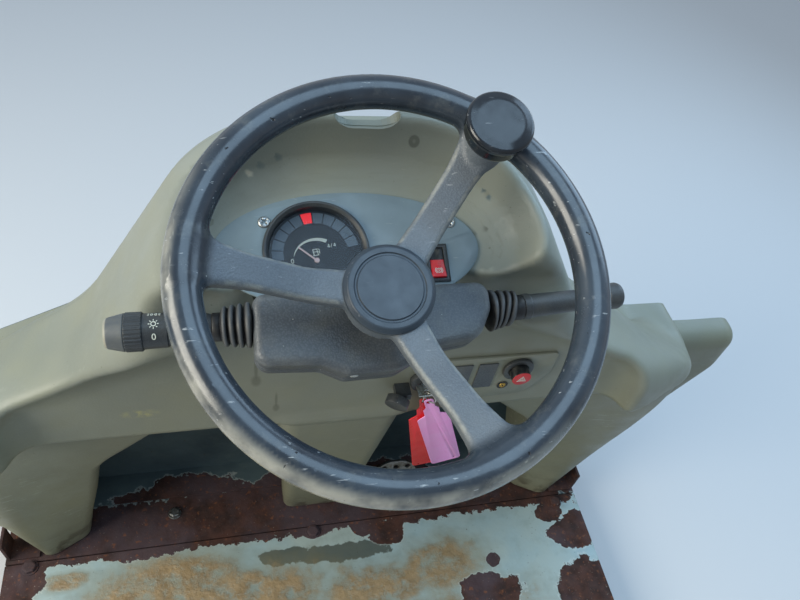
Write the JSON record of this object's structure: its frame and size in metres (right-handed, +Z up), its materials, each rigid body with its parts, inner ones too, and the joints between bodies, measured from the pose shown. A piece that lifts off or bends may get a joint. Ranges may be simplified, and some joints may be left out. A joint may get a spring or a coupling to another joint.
{
  "type": "steering console for a site dumper",
  "caption": "Driver's steering console with wheel, spinner knob, stalk switches, gauge and moulded cowl on a steel footplate.",
  "frame": {"origin": "centre of the overall box, at the underside of the base frame", "axes": "+X to the driver's right, +Y forward, +Z up"},
  "size_m": [1.388, 0.62, 1.0122],
  "materials": {
    "moulded_plastic": "weathered satin",
    "panel_plastic": "satin",
    "black_plastic": "fine grain",
    "gloss_black": "polished by use",
    "wheel_plastic": "worn",
    "rubber": "matt",
    "painted_steel": "chipped paint with rust and mud",
    "rusted_steel": "rough rust",
    "bare_steel": "dull",
    "plated_steel": "bright",
    "cast_iron": "painted casting",
    "dial": "printed",
    "lens": "clear",
    "red_plastic": "gloss",
    "pink_plastic": "matt",
    "needle": "matt",
    "beige_plastic": "matt"
  },
  "bodies": {
    "console": {"cowl": "moulded_plastic", "footplate": "painted_steel", "front_plate": "rusted_steel", "deck_frame": "rusted_steel", "bulkhead": "painted_steel", "switch_housing": "black_plastic", "instrument_panel": "panel_plastic", "gauge_bezel": "black_plastic", "gauge_dial": "dial", "gauge_needle": "needle", "gauge_lens": "lens", "rocker_frame": "black_plastic", "rocker_button": "red_plastic", "column_tube": "rusted_steel", "column_bracket": "rusted_steel", "steering_valve": "cast_iron", "left_boot": "rubber", "left_barrel": "black_plastic", "left_band": "black_plastic", "left_knob": "black_plastic", "left_cap": "beige_plastic", "right_boot": "rubber", "right_barrel": "black_plastic", "right_knob": "black_plastic", "switch_plate": "moulded_plastic", "switch_blank_outer": "black_plastic", "switch_blank_inner": "black_plastic", "hazard_bezel": "black_plastic", "hazard_button": "red_plastic", "ignition_switch": "black_plastic", "ignition_cover": "black_plastic", "ignition_key": "plated_steel", "key_ring": "plated_steel", "tag_link": "plated_steel", "tag_front": "pink_plastic", "tag_back": "red_plastic", "pedal_plate": "bare_steel", "pedal_block": "rusted_steel", "bracket_left": "rusted_steel", "bracket_right": "rusted_steel"},
    "wheel": {"steering_wheel": "wheel_plastic", "hub_cap": "black_plastic", "knob_pin": "plated_steel", "column_shaft": "bare_steel"},
    "knob": {"spinner_knob": "gloss_black"}
  },
  "joints": [
    {"name": "steering_turn", "type": "hinge", "parent": "console", "child": "wheel", "pos_m": [0, -0.02, 0.92], "axis": [0, -0.3955, 0.9184], "continuous": true},
    {"name": "knob_spin", "type": "hinge", "parent": "wheel", "child": "knob", "pos_m": [0.09148, 0.07264, 0.99256], "axis": [0, -0.3955, 0.9184], "continuous": true}
  ]
}
